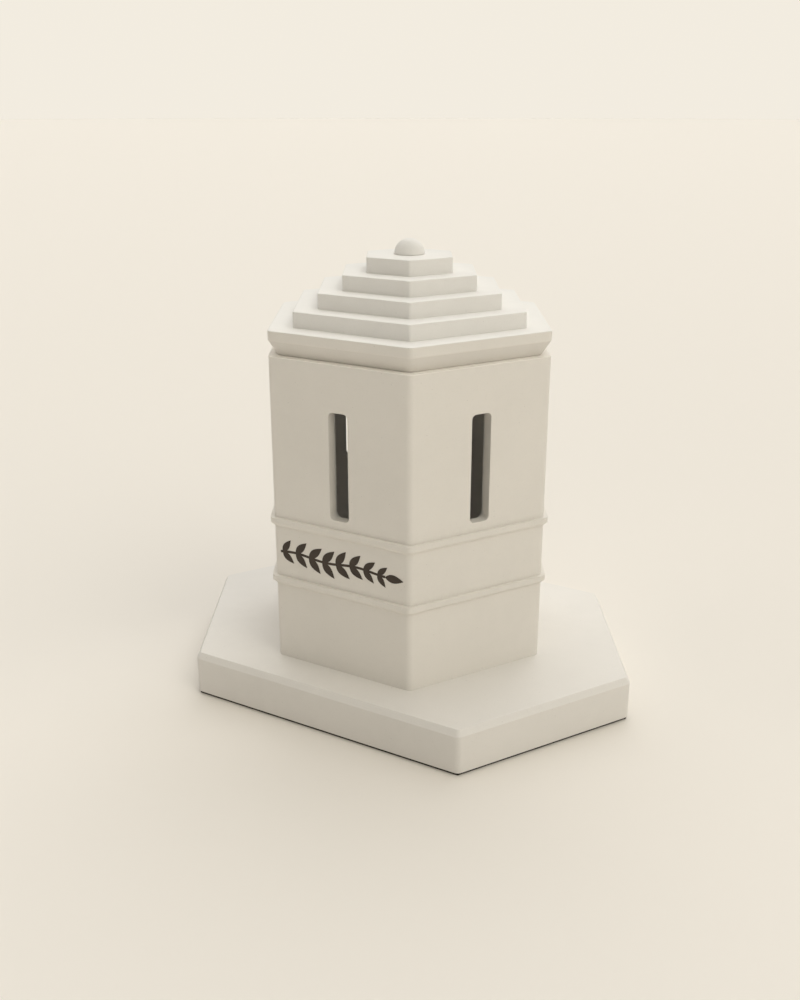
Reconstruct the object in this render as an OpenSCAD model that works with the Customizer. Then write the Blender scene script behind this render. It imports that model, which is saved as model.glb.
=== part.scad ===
// Hexagonal tower for sweet spices on a broad plate, with a stepped roof that lifts off.
// Millimetres. Z points up, z = 0 is the surface that the box stands on, and the tower's axis is the Z axis.
// The face between the mouldings that carries the ornament looks to -Y, and the plate is longest along X.

/* [Tower] */
// Width of the tower from corner to corner, before its edges are rounded
tower_w = 72; // [66:0.5:84]
// Height of the tower's shell, from the plate up to the seam under the roof
tower_h = 73.3; // [62:0.1:92]
// Thickness of the tower's wall at the slots
wall = 2.45; // [2.2:0.05:3]
// Rounding of the tower's upright edges
edge_round = 1.8; // [0.8:0.1:2.6]
// Width of the ledge that the tower's top leaves free round the roof's underside
ledge_w = 2; // [1:0.05:2.2]
// Height of the solid foot, which takes the screws
foot_h = 12; // [10.5:0.5:16]
// Depth of the mouth, from the seam down to the lip
mouth_h = 6.1; // [5.7:0.1:7.5]
// How far the mouth's walls stand in from the shell's inner faces
mouth_step = 0.8; // [0.4:0.1:1]
// Thickness of the lip that keeps the canister in
lip_h = 2; // [1:0.1:3]

/* [Slots] */
// Width of each slot
slot_w = 4.95; // [4.4:0.05:7]
// Height of the slots' sills over the upper moulding
sill_rise = 2.17; // [0.8:0.01:8]
// Distance from the slots' tops up to the underside of the lip
slot_head = 2.5; // [1.4:0.1:12]
// Rounding of the slots' corners
slot_round = 1.1; // [0.4:0.1:2]

/* [Mouldings] */
// Height of the lower moulding's underside over the plate
lower_moulding_z = 18.9; // [13:0.1:26]
// Distance between the undersides of the two mouldings
moulding_step = 14.5; // [6:0.1:20]
// How far the mouldings stand out from the wall
moulding_proud = 0.93; // [0.4:0.05:2]
// Height of a moulding's upright face
moulding_face_h = 1.3; // [0.8:0.05:2]
// Height of the bevel under that face
moulding_bevel_h = 0.93; // [0.4:0.05:1.2]
// How deep the mouldings are let into the wall
moulding_seat = 0.6; // [0.3:0.05:1]

/* [Roof] */
// Height of the cornice's sloping underside
flank_h = 3.5; // [2.4:0.1:4]
// Height of the cornice's upright face
cornice_face_h = 2.18; // [1.6:0.02:4]
// Number of tiers over the cornice
tier_count = 4; // [3:1:5]
// Height of each tier
tier_rise = 3.54; // [3.2:0.05:6]
// Width of each tread
tread_w = 5.36; // [4:0.05:5.6]
// Rounding of the tiers' upright edges
tier_round = 0.8; // [0.5:0.1:0.9]
// Thickness of the roof round its hollow
roof_wall = 3; // [2.2:0.1:3.4]

/* [Collar] */
// How far the collar reaches into the mouth
collar_drop = 5.1; // [3:0.1:5.3]
// How deep the collar is let into the roof
collar_seat = 1.6; // [0.8:0.1:2]
// Thickness of the collar
collar_wall = 2; // [1.2:0.1:2.6]
// Height of the bevel that leads the collar into the mouth
collar_lead = 0.8; // [0.3:0.1:1.5]
// Gap between the collar and the mouth, for an easy lift
collar_fit = 0.35; // [0.2:0.05:0.6]

/* [Finial] */
// Width of the finial's dome
finial_d = 7.1; // [4.5:0.1:10]
// Width of the finial's peg
peg_d = 3; // [2:0.1:4]
// Length of the finial's peg
peg_l = 5; // [2.5:0.1:5.4]

/* [Base] */
// Length of the plate from point to point, before its corners are rounded
base_l = 119; // [112:0.5:150]
// Width of the plate across its long sides
base_w = 82.2; // [78:0.2:100]
// Thickness of the plate
base_h = 10.3; // [8:0.1:16]
// Rounding of the plate's upright corners
base_round = 1.8; // [1.4:0.1:3]
// Width of the bevel round the plate's top, seen from above
base_bevel_w = 0.9; // [0.3:0.1:1.2]
// Height of that bevel
base_bevel_h = 1.4; // [0.3:0.1:2]
// Height of the disc on the plate that centres the tower
plug_h = 2; // [1:0.1:4]
// Thickness of the pad under the plate
pad_t = 0.6; // [0.4:0.1:3]
// How far the pad's edge lies inside the plate's
pad_inset = 0.4; // [0.1:0.1:3]

/* [Canister] */
// Thickness of the canister's wall
canister_wall = 0.8; // [0.5:0.05:1.2]
// Thickness of the canister's floor
canister_floor = 1; // [0.6:0.1:2]
// How much further than the slots the canister's windows reach on each side
window_gap = 0.6; // [0.1:0.05:0.8]
// Gap between the canister and the tower's flat inner faces
canister_gap = 0.3; // [0.2:0.05:0.6]
// Play between the canister and the lip over it
canister_play = 0.2; // [0.1:0.05:0.6]

/* [Screws] */
// Width of a screw's shank
screw_d = 3; // [2:0.1:3.4]
// How far a screw's shank reaches up into the foot
screw_bite = 8; // [4:0.5:9.5]
// Width of a screw's head
head_d = 5.6; // [4.6:0.1:7]
// Height of a screw's head
head_h = 1.8; // [1.2:0.1:3]
// Width of the hexagonal socket across its flats
socket_w = 2; // [1.5:0.1:2.5]
// Depth of the socket
socket_h = 1; // [0.5:0.1:1.2]

/* [Clearances] */
// Gap round pieces that are bonded, pressed or screwed into each other
seat_gap = 0.05; // [0.02:0.01:0.1]
// Gap round a screw where it passes through the plate
pass_gap = 0.3; // [0.1:0.05:0.5]
// How far a screw's head lies inside the plate, and how far its hole runs on past its tip
spare_h = 0.5; // [0.2:0.1:1]

/* [Hidden] */

side_turn = 60;
half_turn = side_turn / 2;
side_turns = [0:side_turn:5 * side_turn];
screw_turns = [0:2 * side_turn:4 * side_turn];
overrun = 1;
arc_fn = 36;
bore_fn = 96;

// Heights over the standing surface
plate_top_z = pad_t + base_h;
seam_z = plate_top_z + tower_h;

// The tower: half widths across its flats, and heights over the plate
tower_flat = tower_w / 2 * cos(half_turn);
seam_flat = tower_flat - ledge_w;
inner_flat = tower_flat - wall;
mouth_flat = inner_flat - mouth_step;
lip_z = tower_h - mouth_h - lip_h;

// The canister stands on the plate's disc, in the foot's round bore
canister_r = inner_flat - canister_gap;
foot_bore_r = canister_r + seat_gap;
throat_r = canister_r - canister_wall;
canister_h = lip_z - plug_h - canister_play;

// The mouldings, and the slots between the upper one and the lip
moulding_h = moulding_bevel_h + moulding_face_h;
groove_flat = tower_flat - moulding_seat;
upper_moulding_z = lower_moulding_z + moulding_step;
slot_sill_z = upper_moulding_z + moulding_h + sill_rise;
slot_h = lip_z - slot_head - slot_sill_z;

// The roof: heights over the seam
cornice_h = flank_h + cornice_face_h;
roof_h = cornice_h + tier_count * tier_rise;
collar_flat = mouth_flat - collar_fit;

// The screws stand in the foot, midway between its bore and the tower's flat faces
screw_place_r = (tower_flat + foot_bore_r) / (1 + cos(half_turn));
head_recess_h = head_h + spare_h;
screw_seat_z = pad_t + head_recess_h;
screw_l = base_h - head_recess_h + screw_bite;

// How wide and how high tier number n is, and its hollow
function tier_flat(n) = tower_flat - n * tread_w;
function tier_top(n) = cornice_h + n * tier_rise;

// The plate's corners, drawn in by a given distance, in turn from the point at +X
function base_corners(inset) =
    let (half_w = base_w / 2 - inset,
        half_l = base_l / 2 - inset / sin(side_turn),
        shoulder = half_l - half_w / tan(side_turn))
    [[half_l, 0], [shoulder, half_w], [-shoulder, half_w],
        [-half_l, 0], [-shoulder, -half_w], [shoulder, -half_w]];

// A hexagon with a given half width across its flats, two of them square to Y
module hexagon(flat) {
    circle(r = flat / cos(half_turn), $fn = 6);
}

// The same hexagon with round corners
module rounded_hexagon(flat, round_r) {
    centre_r = (flat - round_r) / cos(half_turn);
    polygon([
        for (turn = side_turns, lean = [-half_turn, half_turn])
            centre_r * [cos(turn), sin(turn)] + round_r * [cos(turn + lean), sin(turn + lean)]
    ]);
    for (turn = side_turns)
        translate(centre_r * [cos(turn), sin(turn)])
            circle(r = round_r, $fn = arc_fn);
}

// A slot's outline, centred on the origin
module slot_outline(w, h, round_r) {
    square([w - 2 * round_r, h], center = true);
    square([w, h - 2 * round_r], center = true);
    for (x = [-1, 1], y = [-1, 1])
        translate([x * (w / 2 - round_r), y * (h / 2 - round_r)])
            circle(r = round_r, $fn = arc_fn);
}

// Cutters for the six slots, each through two facing walls, grown on every side by a given gap
module slot_cutters(grow) {
    for (turn = [0:side_turn:2 * side_turn])
        rotate(turn)
            translate([0, tower_w / 2, slot_sill_z + slot_h / 2])
                rotate([90, 0, 0])
                    linear_extrude(tower_w)
                        slot_outline(slot_w + 2 * grow, slot_h + 2 * grow, slot_round + grow);
}

// A plate round given corner centres, square below, with its top edge bevelled
module bevelled_plate(centres, h, round_r, bevel_w, bevel_h) {
    hull()
        for (centre = centres)
            translate(centre) {
                cylinder(r = round_r, h = h - bevel_h, $fn = arc_fn);
                cylinder(r = round_r - bevel_w, h = h, $fn = arc_fn);
            }
}

// The thin dark pad that the box stands on
module base_pad() {
    color([0.16, 0.14, 0.12])
        linear_extrude(pad_t)
            polygon(base_corners(pad_inset));
}

// The broad plate, with the disc that centres the tower and the holes for the screws
module base_plate() {
    color([0.87, 0.84, 0.77])
        difference() {
            union() {
                translate([0, 0, pad_t])
                    bevelled_plate(base_corners(base_round), base_h, base_round,
                        base_bevel_w, base_bevel_h);
                translate([0, 0, pad_t])
                    cylinder(r = canister_r, h = base_h + plug_h, $fn = bore_fn);
            }
            for (turn = screw_turns)
                rotate(turn)
                    translate([screw_place_r, 0, 0]) {
                        cylinder(r = screw_d / 2 + pass_gap, h = plate_top_z + overrun, $fn = bore_fn);
                        cylinder(r = head_d / 2 + pass_gap, h = screw_seat_z, $fn = bore_fn);
                    }
        }
}

// Three screws that hold the tower down, with hexagonal sockets
module base_screws() {
    color([0.78, 0.66, 0.4])
        for (turn = screw_turns)
            rotate(turn)
                translate([screw_place_r, 0, screw_seat_z]) {
                    cylinder(r = screw_d / 2, h = screw_l - screw_d / 2, $fn = bore_fn);
                    translate([0, 0, screw_l - screw_d / 2])
                        cylinder(r1 = screw_d / 2, r2 = screw_d / 4, h = screw_d / 2, $fn = bore_fn);
                    translate([0, 0, -head_h])
                        difference() {
                            cylinder(r = head_d / 2, h = head_h, $fn = bore_fn);
                            translate([0, 0, -overrun])
                                linear_extrude(socket_h + overrun)
                                    hexagon(socket_w / 2);
                        }
                }
}

// The tower's shell: foot, six slotted walls, the lip over the canister and the mouth
module tower_body() {
    color([0.87, 0.84, 0.77])
        translate([0, 0, plate_top_z])
            difference() {
                linear_extrude(tower_h)
                    rounded_hexagon(tower_flat, edge_round);
                translate([0, 0, -overrun])
                    cylinder(r = foot_bore_r, h = lip_z + overrun, $fn = bore_fn);
                translate([0, 0, foot_h])
                    linear_extrude(lip_z - foot_h)
                        hexagon(inner_flat);
                cylinder(r = throat_r, h = tower_h + overrun, $fn = bore_fn);
                translate([0, 0, lip_z + lip_h])
                    linear_extrude(mouth_h + overrun)
                        hexagon(mouth_flat);
                slot_cutters(0);
                for (z = [lower_moulding_z, upper_moulding_z])
                    translate([0, 0, z])
                        linear_extrude(moulding_h)
                            difference() {
                                hexagon(tower_flat + overrun);
                                hexagon(groove_flat);
                            }
                for (turn = screw_turns)
                    rotate(turn)
                        translate([screw_place_r, 0, -overrun])
                            cylinder(r = screw_d / 2 + seat_gap, h = overrun + screw_bite + spare_h,
                                $fn = bore_fn);
            }
}

// A moulding round the tower, with its lower edge at a given height over the plate
module moulding(z) {
    color([0.87, 0.84, 0.77])
        translate([0, 0, plate_top_z + z])
            difference() {
                hull() {
                    linear_extrude(moulding_h)
                        rounded_hexagon(tower_flat, edge_round);
                    translate([0, 0, moulding_bevel_h])
                        linear_extrude(moulding_face_h)
                            rounded_hexagon(tower_flat + moulding_proud, edge_round);
                }
                translate([0, 0, -overrun])
                    linear_extrude(moulding_h + 2 * overrun)
                        hexagon(groove_flat + seat_gap);
            }
}

module lower_moulding() {
    moulding(lower_moulding_z);
}

module upper_moulding() {
    moulding(upper_moulding_z);
}

// The round canister that holds the spices below the slots, with a window behind each slot
module spice_canister() {
    color([0.87, 0.85, 0.79])
        translate([0, 0, plate_top_z])
            difference() {
                translate([0, 0, plug_h])
                    cylinder(r = canister_r, h = canister_h, $fn = bore_fn);
                translate([0, 0, plug_h + canister_floor])
                    cylinder(r = canister_r - canister_wall, h = canister_h, $fn = bore_fn);
                slot_cutters(window_gap);
            }
}

// The stepped roof, hollow below, with the seat for its collar and the hole for the finial
module roof_shell() {
    color([0.87, 0.84, 0.77])
        translate([0, 0, seam_z])
            difference() {
                union() {
                    hull() {
                        linear_extrude(cornice_h)
                            rounded_hexagon(seam_flat, edge_round);
                        translate([0, 0, flank_h])
                            linear_extrude(cornice_face_h)
                                rounded_hexagon(tower_flat, edge_round);
                    }
                    for (n = [1:tier_count])
                        linear_extrude(tier_top(n))
                            rounded_hexagon(tier_flat(n), tier_round);
                }
                translate([0, 0, -overrun])
                    linear_extrude(collar_seat + overrun)
                        hexagon(collar_flat + seat_gap);
                for (n = [1:tier_count - 1])
                    linear_extrude(tier_top(n) - roof_wall)
                        hexagon(tier_flat(n) - roof_wall);
                translate([0, 0, roof_h - peg_l])
                    cylinder(r = peg_d / 2 + seat_gap, h = peg_l + overrun, $fn = bore_fn);
            }
}

// The ring under the roof that centres it in the mouth
module roof_collar() {
    color([0.87, 0.84, 0.77])
        translate([0, 0, seam_z - collar_drop])
            difference() {
                union() {
                    linear_extrude(collar_lead, scale = collar_flat / (collar_flat - collar_lead))
                        hexagon(collar_flat - collar_lead);
                    translate([0, 0, collar_lead])
                        linear_extrude(collar_drop + collar_seat - collar_lead)
                            hexagon(collar_flat);
                }
                translate([0, 0, -overrun])
                    linear_extrude(collar_drop + collar_seat + 2 * overrun)
                        hexagon(collar_flat - collar_wall);
            }
}

// The small dome on the roof, with its peg
module finial() {
    color([0.87, 0.84, 0.77])
        translate([0, 0, seam_z + roof_h]) {
            intersection() {
                sphere(r = finial_d / 2, $fn = bore_fn);
                cylinder(r = finial_d / 2, h = finial_d, $fn = bore_fn);
            }
            translate([0, 0, -peg_l])
                cylinder(r = peg_d / 2, h = peg_l, $fn = bore_fn);
        }
}

base_pad();
base_plate();
base_screws();
tower_body();
lower_moulding();
upper_moulding();
spice_canister();
roof_shell();
roof_collar();
finial();
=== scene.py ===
"""Looks of a hexagonal spice tower: cream cast stone on a felt pad, with a row of leaves on its front."""

import math

import bmesh
import bpy
from mathutils import Matrix, Vector


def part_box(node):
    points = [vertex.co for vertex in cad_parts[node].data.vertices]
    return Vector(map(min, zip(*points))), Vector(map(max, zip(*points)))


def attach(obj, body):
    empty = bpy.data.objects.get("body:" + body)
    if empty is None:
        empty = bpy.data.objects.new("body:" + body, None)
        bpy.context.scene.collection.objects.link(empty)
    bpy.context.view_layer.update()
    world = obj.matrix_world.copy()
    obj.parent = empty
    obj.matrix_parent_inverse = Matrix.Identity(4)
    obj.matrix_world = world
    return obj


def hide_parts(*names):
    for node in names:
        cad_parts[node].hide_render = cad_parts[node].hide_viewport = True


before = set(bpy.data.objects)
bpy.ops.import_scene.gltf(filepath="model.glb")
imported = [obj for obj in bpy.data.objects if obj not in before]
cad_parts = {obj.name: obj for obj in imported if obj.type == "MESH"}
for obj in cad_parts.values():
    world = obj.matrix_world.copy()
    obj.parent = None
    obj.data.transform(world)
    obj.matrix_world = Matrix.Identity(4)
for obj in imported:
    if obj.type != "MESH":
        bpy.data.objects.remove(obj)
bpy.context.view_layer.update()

MM = 0.001

# Camera, fitted to the object's edges: it looks at a point close beside the tower's axis
LENS = 40.0
SENSOR = 36.0
CAMERA_TURN = math.radians(30.19)
CAMERA_DROP = math.radians(19.91)
CAMERA_DISTANCE = 274.8 * MM
CAMERA_SEES_FROM = 0.01
CAMERA_SEES_TO = 100
AIM_OVER_PLATE = 33.17 * MM
AIM_TO_LEFT = 2.18 * MM

# Outer edges sharper than the ease angle are eased by this much, so that they catch the light
STONE_EASE = 0.22 * MM
METAL_EASE = 0.1 * MM
EASE_ANGLE = math.radians(25)
EASE_SEGMENTS = 3
FLAT_FACE_WEIGHT = 95

# Points closer than this are one point, and faces flatter to each other than this are one face
MERGE = 0.002 * MM
FLAT_ANGLE = math.radians(0.4)

# The row of leaves on the front face: each leaf is widest near its foot, and those at both ends are smallest
ROW_LENGTH = 33 * MM
ROW_PROUD = 0.08 * MM
ROW_SUNK = 0.04 * MM
LEAF_PAIRS = 8
LEAF_LENGTH = 4.7 * MM
LEAF_WIDTH = 1.9 * MM
LEAF_LEAN = math.radians(44)
LEAF_STRAY = math.radians(3.5)
LEAF_SMALLEST = 0.72
LEAF_SWELL = 3.0
LEAF_POINTS = 24
STEM_WIDTH = 0.62 * MM
STEM_SIDES = 10
TWIG_SWAY = 0.35 * MM
TWIG_WAVES = 2
TWIG_POINTS = 64
LEAVED_FROM = 0.02
LEAVED_TO = 0.93
FULLNESS_START = 0.14
UPPER_LEAVES_SEED = 3
LOWER_LEAVES_SEED = 8

# Tones of the cast stone: walls; the tower's rim, paler as painted light against the shade under the roof;
# the cornice's underside, darker as painted shade; the roof's steps, paler as painted light from above;
# the plate, a little darker as painted shade for the tower's shadow on it; and the hidden collar
WALL_CREAM = (0.816, 0.786, 0.738)
RIM_PAINTED_LIGHT_CREAM = (0.93, 0.9, 0.85)
UNDERSIDE_PAINTED_SHADE_CREAM = (0.75, 0.722, 0.678)
STEP_PAINTED_LIGHT_CREAM = (0.858, 0.844, 0.818)
PLATE_PAINTED_SHADE_CREAM = (0.806, 0.782, 0.748)
COLLAR_CREAM = (0.815, 0.79, 0.753)

# Where the roof's painted light and shade change tone: heights over its seam, and how wide each change is
CORNICE_HEIGHT = 5.68 * MM
FLANK_HEIGHT = 3.5 * MM
TONE_EDGE = 0.3 * MM

# The stone's patterns: their sizes, the distance between its pinholes and the depth of its relief
STONE_CLOUDS = 24 * MM
STONE_MOTTLE = 3.2 * MM
STONE_GRAIN = 0.42 * MM
PINHOLE_STEP = 2.6 * MM
STONE_RELIEF = 0.012 * MM

# A pinhole's bottom and its rim, as shares of the distance between pinholes
PINHOLE_BOTTOM = 0.03
PINHOLE_RIM = 0.06

# What the patterns make of the stone's tone, as a share of it, and how much of each shows
CLOUD_DARK = 0.985
CLOUD_LIGHT = 1.015
MOTTLE_LIGHT = 1.03
MOTTLE_SHOWS = 0.35
GRAIN_DARK = 0.8
GRAIN_SHOWS = 0.16
PINHOLE_DARK = 0.6
PINHOLE_SHOWS = 0.3

# The canister's enamel: its tones, the sizes of its patterns and the depth of its relief
ENAMEL_CREAM = (0.87, 0.85, 0.815)
ENAMEL_THIN = (0.855, 0.835, 0.8)
ENAMEL_THICK = (0.885, 0.865, 0.83)
ENAMEL_SPECK = (0.8, 0.78, 0.745)
ENAMEL_PATCHES = 7 * MM
ENAMEL_GRAIN = 0.3 * MM
ENAMEL_RELIEF = 0.006 * MM

# The pad's felt
FELT_BROWN = (0.03, 0.026, 0.02)
FELT_DARK = (0.022, 0.019, 0.015)
FELT_LIGHT = (0.042, 0.037, 0.03)
FELT_FIBRES = 0.5 * MM
FELT_RELIEF = 0.05 * MM

# The screws' steel
STEEL_GREY = (0.58, 0.57, 0.55)
STEEL_DARK = (0.54, 0.53, 0.51)
STEEL_LIGHT = (0.62, 0.61, 0.59)
STEEL_MARKS = 0.25 * MM
STEEL_RELIEF = 0.004 * MM

# The leaves' glaze
GLAZE_BROWN = (0.045, 0.031, 0.021)
GLAZE_DARK = (0.039, 0.027, 0.018)
GLAZE_LIGHT = (0.052, 0.036, 0.025)
GLAZE_POOLS = 1.6 * MM
GLAZE_RELIEF = 0.01 * MM

# Lights: name, strength, spread in degrees, degrees over the horizon, degrees round from the camera's own
# direction, colour
SUNS = [
    ("back", 1.8, 65, 58, 170, (1.0, 0.99, 0.96)),
    ("front", 0.72, 60, 50, 20, (1.0, 0.99, 0.88)),
    ("right", 0.86, 60, 35, 60, (1.0, 0.93, 0.82)),
    ("left", 0.48, 60, 35, 270, (1.0, 0.92, 0.82)),
]

# The pale surround: faint as a light, and shown to the camera by a screen round the floor's edge
SURROUND = (0.892, 0.84, 0.745)
SURROUND_STRENGTH = 0.06

# The floor's tone is painted: darker near the object as painted shade, lighter far away as painted light,
# and halfway there at the distance of the fade
FLOOR_NEAR_PAINTED_SHADE = (0.847, 0.811, 0.76)
FLOOR_FAR_PAINTED_LIGHT = (0.925, 0.886, 0.832)
FLOOR_FADE = 0.4

# The screen, which ends the floor
SCREEN_RADIUS = 8.0
SCREEN_HEIGHT = 8.0
SCREEN_POINTS = 96


class Wire:
    """A value on its way through a tree of nodes: sums and products on it add Math nodes."""

    def __init__(self, tree, socket):
        self.tree = tree
        self.socket = socket

    def __add__(self, other):
        return self.tree.maths("ADD", self, other)

    def __radd__(self, other):
        return self.tree.maths("ADD", other, self)

    def __sub__(self, other):
        return self.tree.maths("SUBTRACT", self, other)

    def __rsub__(self, other):
        return self.tree.maths("SUBTRACT", other, self)

    def __mul__(self, other):
        return self.tree.maths("MULTIPLY", self, other)

    def __rmul__(self, other):
        return self.tree.maths("MULTIPLY", other, self)

    def __truediv__(self, other):
        return self.tree.maths("DIVIDE", self, other)

    def __rtruediv__(self, other):
        return self.tree.maths("DIVIDE", other, self)


class Tree:
    """A tree of nodes, for a finish or for a growth of geometry."""

    def __init__(self, nodes):
        self.nodes = nodes

    def node(self, kind, settings=None, values=None, output=0):
        """Adds a node, sets it up, fills or links its sockets, and gives back one of its outputs."""
        made = self.nodes.nodes.new(kind)
        for key, value in (settings or {}).items():
            setattr(made, key, value)
        for key, value in (values or {}).items():
            for wired in value if isinstance(value, list) else [value]:
                self.feed(made.inputs[key], wired)
        return Wire(self, made.outputs[output])

    def feed(self, socket, value):
        """Links a socket to a wire, or sets it to a plain value."""
        if isinstance(value, Wire):
            self.nodes.links.new(value.socket, socket)
        else:
            socket.default_value = value

    def maths(self, operation, *terms):
        """The outcome of an operation on one or two terms."""
        return self.node("ShaderNodeMath", {"operation": operation}, dict(enumerate(terms)))


class Finish(Tree):
    """A material: its shader's own constants, and the nodes that vary it over a surface."""

    def __init__(self, name, colour, **constants):
        self.material = bpy.data.materials.new(name)
        self.material.use_nodes = True
        super().__init__(self.material.node_tree)
        self.shader = self.nodes.nodes["Principled BSDF"]
        self.shader.inputs["Base Color"].default_value = (*colour, 1)
        self.material.diffuse_color = (*colour, 1)
        for socket, value in constants.items():
            self.shader.inputs[socket.replace("_", " ")].default_value = value

    def set(self, socket, value):
        """Feeds one of the shader's sockets."""
        self.feed(self.shader.inputs[socket], value)

    def place(self):
        """Where a point lies on the object, in metres."""
        return self.node("ShaderNodeTexCoord", output="Object")

    def noise(self, size, detail=2.0, roughness=0.5, stretch=None):
        """Clouds of about the given size, from 0 to 1."""
        place = self.place()
        if stretch:
            place = self.node("ShaderNodeMapping", None, {"Vector": place, "Scale": stretch})
        values = {"Vector": place, "Scale": 1 / size, "Detail": detail, "Roughness": roughness}
        return self.node("ShaderNodeTexNoise", None, values)

    def band(self, value, low, high):
        """0 below low, 1 over high, and a smooth rise between."""
        values = {"Value": value, "From Min": low, "From Max": high}
        return self.node("ShaderNodeMapRange", {"interpolation_type": "SMOOTHSTEP"}, values)

    def blend(self, share, first, second, kind="MIX"):
        """A colour between two, by a share from 0 to 1."""
        settings = {"data_type": "RGBA", "blend_type": kind}
        ends = [(*c, 1) if isinstance(c, tuple) else c for c in (first, second)]
        return self.node("ShaderNodeMix", settings, {0: share, 6: ends[0], 7: ends[1]}, output=2)

    def relief(self, height, depth):
        """Bumps of the given depth, where height goes from 0 to 1."""
        values = {"Height": height, "Strength": 1.0, "Distance": depth}
        self.set("Normal", self.node("ShaderNodeBump", None, values))


class Growth(Tree):
    """A tree of geometry nodes with named inputs."""

    def __init__(self, name, sizes, **others):
        self.group = bpy.data.node_groups.new(name, "GeometryNodeTree")
        super().__init__(self.group)
        self.group.interface.new_socket("Geometry", in_out="OUTPUT", socket_type="NodeSocketGeometry")
        for size in sizes:
            self.group.interface.new_socket(size, in_out="INPUT", socket_type="NodeSocketFloat")
        for other, kind in others.items():
            self.group.interface.new_socket(other, in_out="INPUT", socket_type=kind)
        self.inlet = self.group.nodes.new("NodeGroupInput")

    def size(self, name):
        """One of the named inputs."""
        return Wire(self, self.inlet.outputs[name])

    def parts(self, vector):
        """The X, Y and Z of a vector."""
        first = self.node("ShaderNodeSeparateXYZ", None, {0: vector})
        return [Wire(self, socket) for socket in first.socket.node.outputs]

    def vector(self, x=0.0, y=0.0, z=0.0):
        """A vector from its X, Y and Z."""
        return self.node("ShaderNodeCombineXYZ", None, {"X": x, "Y": y, "Z": z})

    def moved(self, geometry, x, y, z):
        """The geometry with each point at a new place."""
        values = {0: geometry, "Position": self.vector(x, y, z)}
        return self.node("GeometryNodeSetPosition", None, values)

    def heading(self, points):
        """Which way a curve runs at the points that were made on it, as a turn about Z."""
        along, across, _ = self.parts(Wire(self, points.socket.node.outputs["Tangent"]))
        return self.maths("ARCTAN2", across, along)

    def end(self, geometry, material):
        """Real geometry with its material, as the tree's output."""
        solid = self.node("GeometryNodeRealizeInstances", None, {0: geometry})
        dressed = self.node("GeometryNodeSetMaterial", None, {0: solid, "Material": material})
        outlet = self.group.nodes.new("NodeGroupOutput")
        self.feed(outlet.inputs[0], dressed)


def shaded(colour, share):
    """The same colour, lighter or darker by a share."""
    return tuple(min(1, channel * share) for channel in colour)


def cast_stone(name, body, painted_tones=()):
    """Fine cast stone: soft clouds of tone, a sandy grain and a few pinholes.

    The painted tones are light and shade painted by height: pairs of a height and the tone under it, from
    the top down.
    """
    stone = Finish(name, body, Roughness=0.62, Specular_IOR_Level=0.32)
    clouds = stone.noise(STONE_CLOUDS, detail=3)
    mottle = stone.noise(STONE_MOTTLE, detail=2)
    grain = stone.noise(STONE_GRAIN, detail=2)
    spread = {"Vector": stone.place(), "Scale": 1 / PINHOLE_STEP}
    pits = stone.node("ShaderNodeTexVoronoi", {"feature": "F1"}, spread)
    pin = 1 - stone.band(pits, PINHOLE_BOTTOM, PINHOLE_RIM)
    colour = stone.blend(stone.band(clouds, 0.3, 0.7), shaded(body, CLOUD_DARK), shaded(body, CLOUD_LIGHT))
    colour = stone.blend(stone.band(mottle, 0.35, 0.75) * MOTTLE_SHOWS, colour, shaded(body, MOTTLE_LIGHT))
    colour = stone.blend(stone.band(grain, 0.56, 0.8) * GRAIN_SHOWS, colour, shaded(body, GRAIN_DARK))
    colour = stone.blend(pin * PINHOLE_SHOWS, colour, shaded(body, PINHOLE_DARK))
    upper = body
    # Painted light and shade: the stone's tone steps down under each height, paler above and darker below
    for top, tone in painted_tones:
        height = stone.node("ShaderNodeSeparateXYZ", None, {0: stone.place()}, output=2)
        under = 1 - stone.band(height, top - TONE_EDGE, top)
        ratio = tuple(low / high for low, high in zip(tone, upper))
        colour = stone.blend(under, colour, ratio, kind="MULTIPLY")
        upper = tone
    stone.set("Base Color", colour)
    stone.set("Roughness", 0.58 + grain * 0.12)
    stone.relief(grain * 0.7 + mottle * 0.3 - pin, STONE_RELIEF)
    return stone.material


def pale_enamel(name):
    """The canister's pale matte enamel, a little thinner in patches."""
    enamel = Finish(name, ENAMEL_CREAM, Roughness=0.45, Specular_IOR_Level=0.35)
    patches = enamel.noise(ENAMEL_PATCHES, detail=4)
    grain = enamel.noise(ENAMEL_GRAIN, detail=2)
    colour = enamel.blend(enamel.band(patches, 0.35, 0.7), ENAMEL_THIN, ENAMEL_THICK)
    enamel.set("Base Color", enamel.blend(grain * 0.25, colour, ENAMEL_SPECK))
    enamel.set("Roughness", 0.38 + patches * 0.16)
    enamel.relief(grain, ENAMEL_RELIEF)
    return enamel.material


def wool_felt(name):
    """Dark pressed wool, with fine fibres along and across."""
    felt = Finish(name, FELT_BROWN, Roughness=0.95, Specular_IOR_Level=0.1, Sheen_Weight=0.15)
    fibres = felt.noise(FELT_FIBRES, detail=4, stretch=(1.0, 3.0, 1.0))
    across = felt.noise(FELT_FIBRES, detail=4, stretch=(3.0, 1.0, 1.0))
    colour = felt.blend(felt.band(fibres, 0.35, 0.7), FELT_DARK, FELT_LIGHT)
    felt.set("Base Color", felt.blend(across * 0.4, colour, FELT_BROWN))
    felt.relief(fibres * 0.5 + across * 0.5, FELT_RELIEF)
    return felt.material


def plain_steel(name):
    """Machined steel, with fine turning marks."""
    steel = Finish(name, STEEL_GREY, Metallic=1.0, Roughness=0.34)
    marks = steel.noise(STEEL_MARKS, detail=3, stretch=(1.0, 1.0, 4.0))
    steel.set("Base Color", steel.blend(marks, STEEL_DARK, STEEL_LIGHT))
    steel.set("Roughness", 0.28 + marks * 0.14)
    steel.relief(marks, STEEL_RELIEF)
    return steel.material


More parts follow.
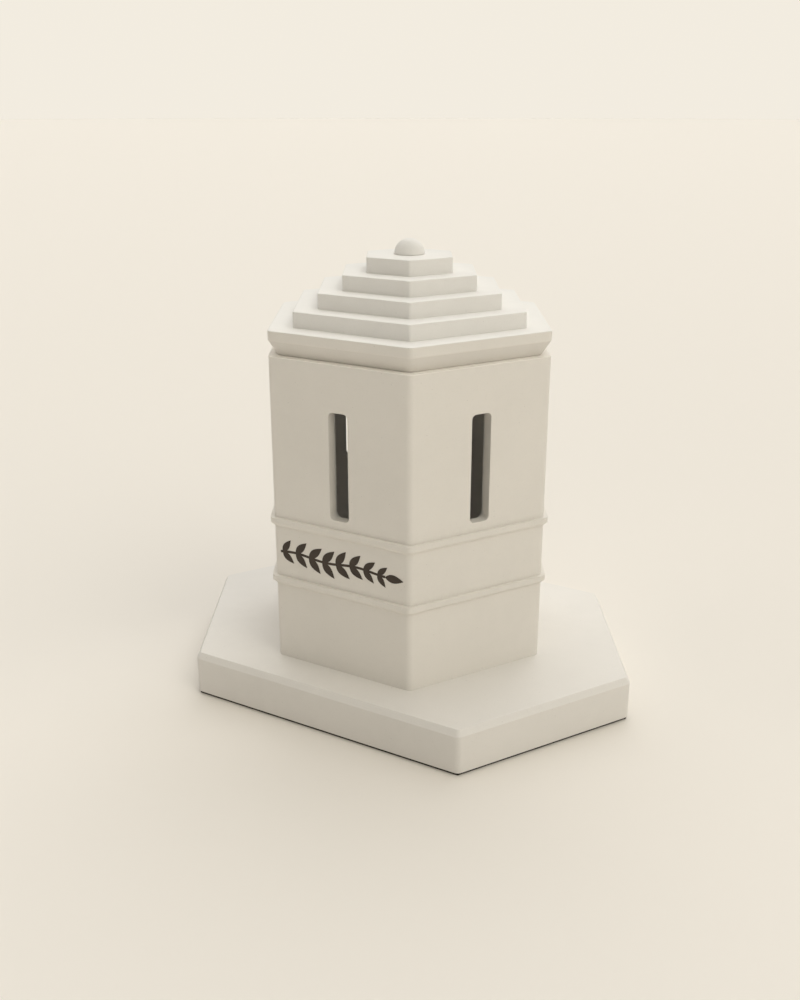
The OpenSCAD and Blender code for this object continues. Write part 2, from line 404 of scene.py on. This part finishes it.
def dark_glaze(name):
    """The leaves' dark brown glaze, with a slight pooling of tone."""
    glaze = Finish(name, GLAZE_BROWN, Roughness=0.5, Specular_IOR_Level=0.35)
    pools = glaze.noise(GLAZE_POOLS, detail=3)
    glaze.set("Base Color", glaze.blend(glaze.band(pools, 0.3, 0.7), GLAZE_DARK, GLAZE_LIGHT))
    glaze.set("Roughness", 0.44 + pools * 0.14)
    glaze.relief(pools, GLAZE_RELIEF)
    return glaze.material


def merged_mesh(node):
    """A copy of a node's mesh as a closed solid with whole flat faces.

    Its sharp outer edges are marked to be eased, and its sharp inner ones stay sharp.
    """
    solid = bmesh.new()
    solid.from_mesh(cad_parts[node].data)
    bmesh.ops.remove_doubles(solid, verts=solid.verts, dist=MERGE)
    bmesh.ops.dissolve_limit(solid, angle_limit=FLAT_ANGLE, verts=solid.verts, edges=solid.edges)
    marks = solid.edges.layers.float.new("bevel_weight_edge")
    for edge in solid.edges:
        if edge.calc_face_angle(0) > EASE_ANGLE:
            edge[marks] = edge.is_convex
            edge.smooth = edge.is_convex
    mesh = bpy.data.meshes.new(node)
    solid.to_mesh(mesh)
    solid.free()
    return mesh


def finished(obj):
    """The object with its modifiers made part of a plain mesh."""
    graph = bpy.context.evaluated_depsgraph_get()
    mesh = bpy.data.meshes.new_from_object(obj.evaluated_get(graph))
    obj.modifiers.clear()
    obj.data = mesh
    return obj


def eased_piece(node, body, material, ease):
    """A node with its sharp outer edges eased, in place of the node."""
    obj = bpy.data.objects.new(node + "_eased", merged_mesh(node))
    bpy.context.scene.collection.objects.link(obj)
    obj.data.materials.append(material)
    for face in obj.data.polygons:
        face.use_smooth = True
        face.material_index = 0
    bevel = obj.modifiers.new("ease", "BEVEL")
    bevel.width = ease
    bevel.segments = EASE_SEGMENTS
    bevel.limit_method = "WEIGHT"
    bevel.miter_outer = "MITER_ARC"
    normals = obj.modifiers.new("normals", "WEIGHTED_NORMAL")
    normals.mode = "FACE_AREA"
    normals.weight = FLAT_FACE_WEIGHT
    normals.keep_sharp = True
    finished(obj)
    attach(obj, body)
    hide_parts(node)


def repaint(node, material):
    """A node that stays as it is, with a better material."""
    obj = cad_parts[node]
    obj.data.materials.clear()
    obj.data.materials.append(material)


def leaf_blade(row, length, width, thickness):
    """One leaf, from its foot at the origin along X, as a closed solid: a disc drawn out to two points."""
    disc = row.node("GeometryNodeMeshCircle", {"fill_type": "NGON"}, {"Vertices": LEAF_POINTS})
    x, y, _ = row.parts(row.node("GeometryNodeInputPosition"))
    swell = (LEAF_SWELL - x) / LEAF_SWELL
    side = y * row.maths("ABSOLUTE", y) * swell * width / 2
    blade = row.moved(disc, (x + 1) * length / 2, side, 0.0)
    upwards = {0: blade, "Offset": row.vector(z=1.0), "Offset Scale": thickness, "Individual": False}
    raised = row.node("GeometryNodeExtrudeMesh", {"mode": "FACES"}, upwards)
    under = row.node("GeometryNodeFlipFaces", None, {0: blade})
    leaf = row.node("GeometryNodeJoinGeometry", None, {0: [raised, under]})
    return row.node("GeometryNodeMergeByDistance", None, {0: leaf, "Distance": MERGE})


def twig_line(row, length, sway, tip_length):
    """The twig's wavy line along X, which ends where the leaf at its tip begins."""
    ends = {"Start": row.vector(length / -2), "End": row.vector(length / 2 - tip_length)}
    line = row.node("GeometryNodeCurvePrimitiveLine", None, ends)
    line = row.node("GeometryNodeResampleCurve", None, {0: line, "Count": TWIG_POINTS})
    x, _, _ = row.parts(row.node("GeometryNodeInputPosition"))
    wave = row.maths("SINE", x / length * (TWIG_WAVES * math.tau)) * sway
    return row.moved(line, x, wave, 0.0)


def flat_stem(row, twig, width, thickness):
    """A round stem along the twig, pressed flat."""
    rounding = {"Resolution": STEM_SIDES, "Radius": width / 2}
    profile = row.node("GeometryNodeCurvePrimitiveCircle", {"mode": "RADIUS"}, rounding)
    stem = row.node("GeometryNodeCurveToMesh", None, {0: twig, 1: profile, "Fill Caps": True})
    x, y, z = row.parts(row.node("GeometryNodeInputPosition"))
    return row.moved(stem, x, y, (z / width + 0.5) * thickness)


def leaves_at(row, points, leaf, turn, **others):
    """The leaf at each of the points, turned about Z."""
    turned = row.node("FunctionNodeEulerToRotation", None, {0: row.vector(z=turn)})
    setting = {"Points": points, "Instance": leaf, "Rotation": turned, **others}
    return row.node("GeometryNodeInstanceOnPoints", None, setting)


def leaf_pairs(row, twig, leaf, pairs, lean):
    """Pairs of leaves along the twig, smaller at both ends, which stray a little from their lean."""
    stretch = {0: twig, 2: LEAVED_FROM, 3: LEAVED_TO}
    leaved = row.node("GeometryNodeTrimCurve", {"mode": "FACTOR"}, stretch)
    places = row.node("GeometryNodeCurveToPoints", {"mode": "COUNT"}, {0: leaved, "Count": pairs})
    heading = row.heading(places)
    share = row.node("GeometryNodeInputIndex") / (pairs - 1)
    rise = row.maths("SINE", (share * (1 - FULLNESS_START) + FULLNESS_START) * math.pi)
    fullness = LEAF_SMALLEST + (1 - LEAF_SMALLEST) * rise
    size = row.vector(fullness, fullness, 1.0)
    both_sides = []
    for seed, way in ((UPPER_LEAVES_SEED, 1), (LOWER_LEAVES_SEED, -1)):
        straying = {2: -LEAF_STRAY, 3: LEAF_STRAY, "Seed": seed}
        stray = row.node("FunctionNodeRandomValue", {"data_type": "FLOAT"}, straying, output=1)
        both_sides.append(leaves_at(row, places, leaf, heading + lean * way + stray, Scale=size))
    return both_sides


def tip_leaf(row, twig, leaf):
    """One leaf at the twig's second end, in line with it."""
    ends = row.node("GeometryNodeCurveToPoints", {"mode": "COUNT"}, {0: twig, "Count": 2})
    index = row.node("GeometryNodeInputIndex")
    return leaves_at(row, ends, leaf, row.heading(ends), Selection=index)


def leaf_row_tree():
    """A wavy twig with pairs of pointed leaves and one leaf at its tip, lying flat along X."""
    sizes = ("Length", "Pairs", "Leaf Length", "Leaf Width", "Lean", "Stem Width", "Sway", "Thickness")
    row = Growth("leaf_row", sizes, Material="NodeSocketMaterial")
    length, pairs, leaf_l, leaf_w, lean, stem_w, sway, thickness = [row.size(name) for name in sizes]
    leaf = leaf_blade(row, leaf_l, leaf_w, thickness)
    twig = twig_line(row, length, sway, leaf_l)
    stem = flat_stem(row, twig, stem_w, thickness)
    pieces = [stem, *leaf_pairs(row, twig, leaf, pairs, lean), tip_leaf(row, twig, leaf)]
    row.end(row.node("GeometryNodeJoinGeometry", None, {0: pieces}), row.size("Material"))
    return row.group


def grown(name, group, values):
    """A plain mesh object from a tree of geometry nodes, with its inputs set by their names."""
    obj = bpy.data.objects.new(name, bpy.data.meshes.new(name))
    bpy.context.scene.collection.objects.link(obj)
    modifier = obj.modifiers.new("growth", "NODES")
    modifier.node_group = group
    for socket in group.interface.items_tree:
        if socket.name in values:
            modifier[socket.identifier] = values[socket.name]
    return finished(obj)


def leaf_row():
    """The row of leaves on the front face, midway between the mouldings, a little proud of the wall."""
    values = {
        "Length": ROW_LENGTH,
        "Pairs": float(LEAF_PAIRS),
        "Leaf Length": LEAF_LENGTH,
        "Leaf Width": LEAF_WIDTH,
        "Lean": LEAF_LEAN,
        "Stem Width": STEM_WIDTH,
        "Sway": TWIG_SWAY,
        "Thickness": ROW_PROUD + ROW_SUNK,
        "Material": dark_glaze("leaf_dark_glaze"),
    }
    row = grown("leaf_row", leaf_row_tree(), values)
    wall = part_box("tower_body")[0].y
    middle = (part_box("lower_moulding")[1].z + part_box("upper_moulding")[0].z) / 2
    upright = Matrix.Rotation(math.radians(90), 4, "X")
    row.data.transform(Matrix.Translation((0, wall + ROW_SUNK, middle)) @ upright)
    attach(row, "stand")


def dress_object():
    """Gives every piece its finish."""
    # The plate's tone is a little darker than the walls': painted shade for the tower's shadow on it
    plate_stone = cast_stone("plate_cast_stone", PLATE_PAINTED_SHADE_CREAM)
    eased_piece("base_plate", "stand", plate_stone, STONE_EASE)
    # The tower's rim face is painted paler than its walls: painted light against the shade under the roof's
    # overhang
    tower_painted_tones = ((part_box("tower_body")[1].z, WALL_CREAM),)
    tower_stone = cast_stone("tower_cast_stone", RIM_PAINTED_LIGHT_CREAM, tower_painted_tones)
    eased_piece("tower_body", "stand", tower_stone, STONE_EASE)
    moulding_stone = cast_stone("moulding_cast_stone", WALL_CREAM)
    for moulding in ("lower_moulding", "upper_moulding"):
        eased_piece(moulding, "stand", moulding_stone, STONE_EASE)
    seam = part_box("roof_shell")[0].z
    # Painted light and shade on the roof: its steps are paler, as light from above, and the cornice's
    # underside darker, as shade
    roof_painted_tones = ((seam + CORNICE_HEIGHT, WALL_CREAM), (seam + FLANK_HEIGHT, UNDERSIDE_PAINTED_SHADE_CREAM))
    roof_stone = cast_stone("roof_cast_stone", STEP_PAINTED_LIGHT_CREAM, roof_painted_tones)
    eased_piece("roof_shell", "roof", roof_stone, STONE_EASE)
    # The finial takes the steps' paler tone: painted light from above
    finial_stone = cast_stone("finial_cast_stone", STEP_PAINTED_LIGHT_CREAM)
    eased_piece("finial", "roof", finial_stone, STONE_EASE)
    collar_stone = cast_stone("collar_cast_stone", COLLAR_CREAM)
    eased_piece("roof_collar", "roof", collar_stone, STONE_EASE)
    enamel = pale_enamel("canister_pale_enamel")
    eased_piece("spice_canister", "stand", enamel, METAL_EASE)
    eased_piece("base_screws", "stand", plain_steel("screw_plain_steel"), METAL_EASE)
    repaint("base_pad", wool_felt("pad_wool_felt"))
    leaf_row()


def add_camera():
    """The photograph's view."""
    plate_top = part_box("tower_body")[0].z
    turn = Matrix.Rotation(CAMERA_TURN, 4, "Z")
    aim = turn @ Vector((-AIM_TO_LEFT, 0, plate_top + AIM_OVER_PLATE))
    back = turn @ Vector((0, -math.cos(CAMERA_DROP), math.sin(CAMERA_DROP)))
    data = bpy.data.cameras.new("view")
    data.lens = LENS
    data.sensor_width = SENSOR
    data.clip_start = CAMERA_SEES_FROM
    data.clip_end = CAMERA_SEES_TO
    camera = bpy.data.objects.new("view", data)
    camera.location = aim + back * CAMERA_DISTANCE
    camera.rotation_euler = (math.radians(90) - CAMERA_DROP, 0, CAMERA_TURN)
    bpy.context.scene.collection.objects.link(camera)
    bpy.context.scene.camera = camera


def floor_paper():
    """Matte paper, a little lighter far from the object than close to it: painted shade near it, painted
    light far off.
    """
    paper = Finish("floor_paper", FLOOR_NEAR_PAINTED_SHADE, Roughness=0.9, Specular_IOR_Level=0.1)
    away = paper.node("ShaderNodeVectorMath", {"operation": "LENGTH"}, {0: paper.place()}, output=1)
    # Painted shade close to the object, fading to painted light far from it
    paper.set("Base Color", paper.blend(away / (away + FLOOR_FADE), FLOOR_NEAR_PAINTED_SHADE, FLOOR_FAR_PAINTED_LIGHT))
    return paper.material


def add_floor():
    """A plain pale floor that runs to the horizon."""
    mesh = bpy.data.meshes.new("floor")
    sides = ((-1, -1), (1, -1), (1, 1), (-1, 1))
    corners = [(x * SCREEN_RADIUS, y * SCREEN_RADIUS, 0) for x, y in sides]
    mesh.from_pydata(corners, [], [(0, 1, 2, 3)])
    floor = bpy.data.objects.new("floor", mesh)
    mesh.materials.append(floor_paper())
    bpy.context.scene.collection.objects.link(floor)


def add_backdrop():
    """A pale screen all round, at the floor's far edge, which neither lights the object nor shades it."""
    mesh = bpy.data.meshes.new("backdrop")
    turns = [math.tau * number / SCREEN_POINTS for number in range(SCREEN_POINTS)]
    rim = [Vector((math.cos(turn), math.sin(turn), 0)) * SCREEN_RADIUS for turn in turns]
    over = [point + Vector((0, 0, SCREEN_HEIGHT)) for point in rim]
    after = [(number + 1) % SCREEN_POINTS for number in range(SCREEN_POINTS)]
    faces = [(one, one + SCREEN_POINTS, two + SCREEN_POINTS, two) for one, two in enumerate(after)]
    mesh.from_pydata(rim + over, [], faces)
    screen = bpy.data.objects.new("backdrop", mesh)
    paper = Finish("backdrop_lit_paper", (0.0, 0.0, 0.0), Roughness=1.0, Specular_IOR_Level=0.0)
    paper.set("Emission Color", (*SURROUND, 1))
    paper.set("Emission Strength", 1.0)
    mesh.materials.append(paper.material)
    screen.visible_diffuse = False
    screen.visible_shadow = False
    bpy.context.scene.collection.objects.link(screen)


def add_light():
    """Soft studio light: a faint surround, and broad suns from behind, in front, the right and the left."""
    world = bpy.data.worlds.new("surround")
    bpy.context.scene.world = world
    world.use_nodes = True
    surround = world.node_tree.nodes["Background"]
    surround.inputs["Color"].default_value = (*SURROUND, 1)
    surround.inputs["Strength"].default_value = SURROUND_STRENGTH
    for name, strength, spread, height, turn, colour in SUNS:
        data = bpy.data.lights.new(name, "SUN")
        data.energy = strength
        data.angle = math.radians(spread)
        data.color = colour
        sun = bpy.data.objects.new(name, data)
        sun.rotation_euler = (math.radians(90 - height), 0, CAMERA_TURN + math.radians(turn))
        bpy.context.scene.collection.objects.link(sun)


tones = bpy.context.scene.view_settings
tones.view_transform = "Standard"
tones.look = "None"

dress_object()
add_camera()
add_floor()
add_backdrop()
add_light()
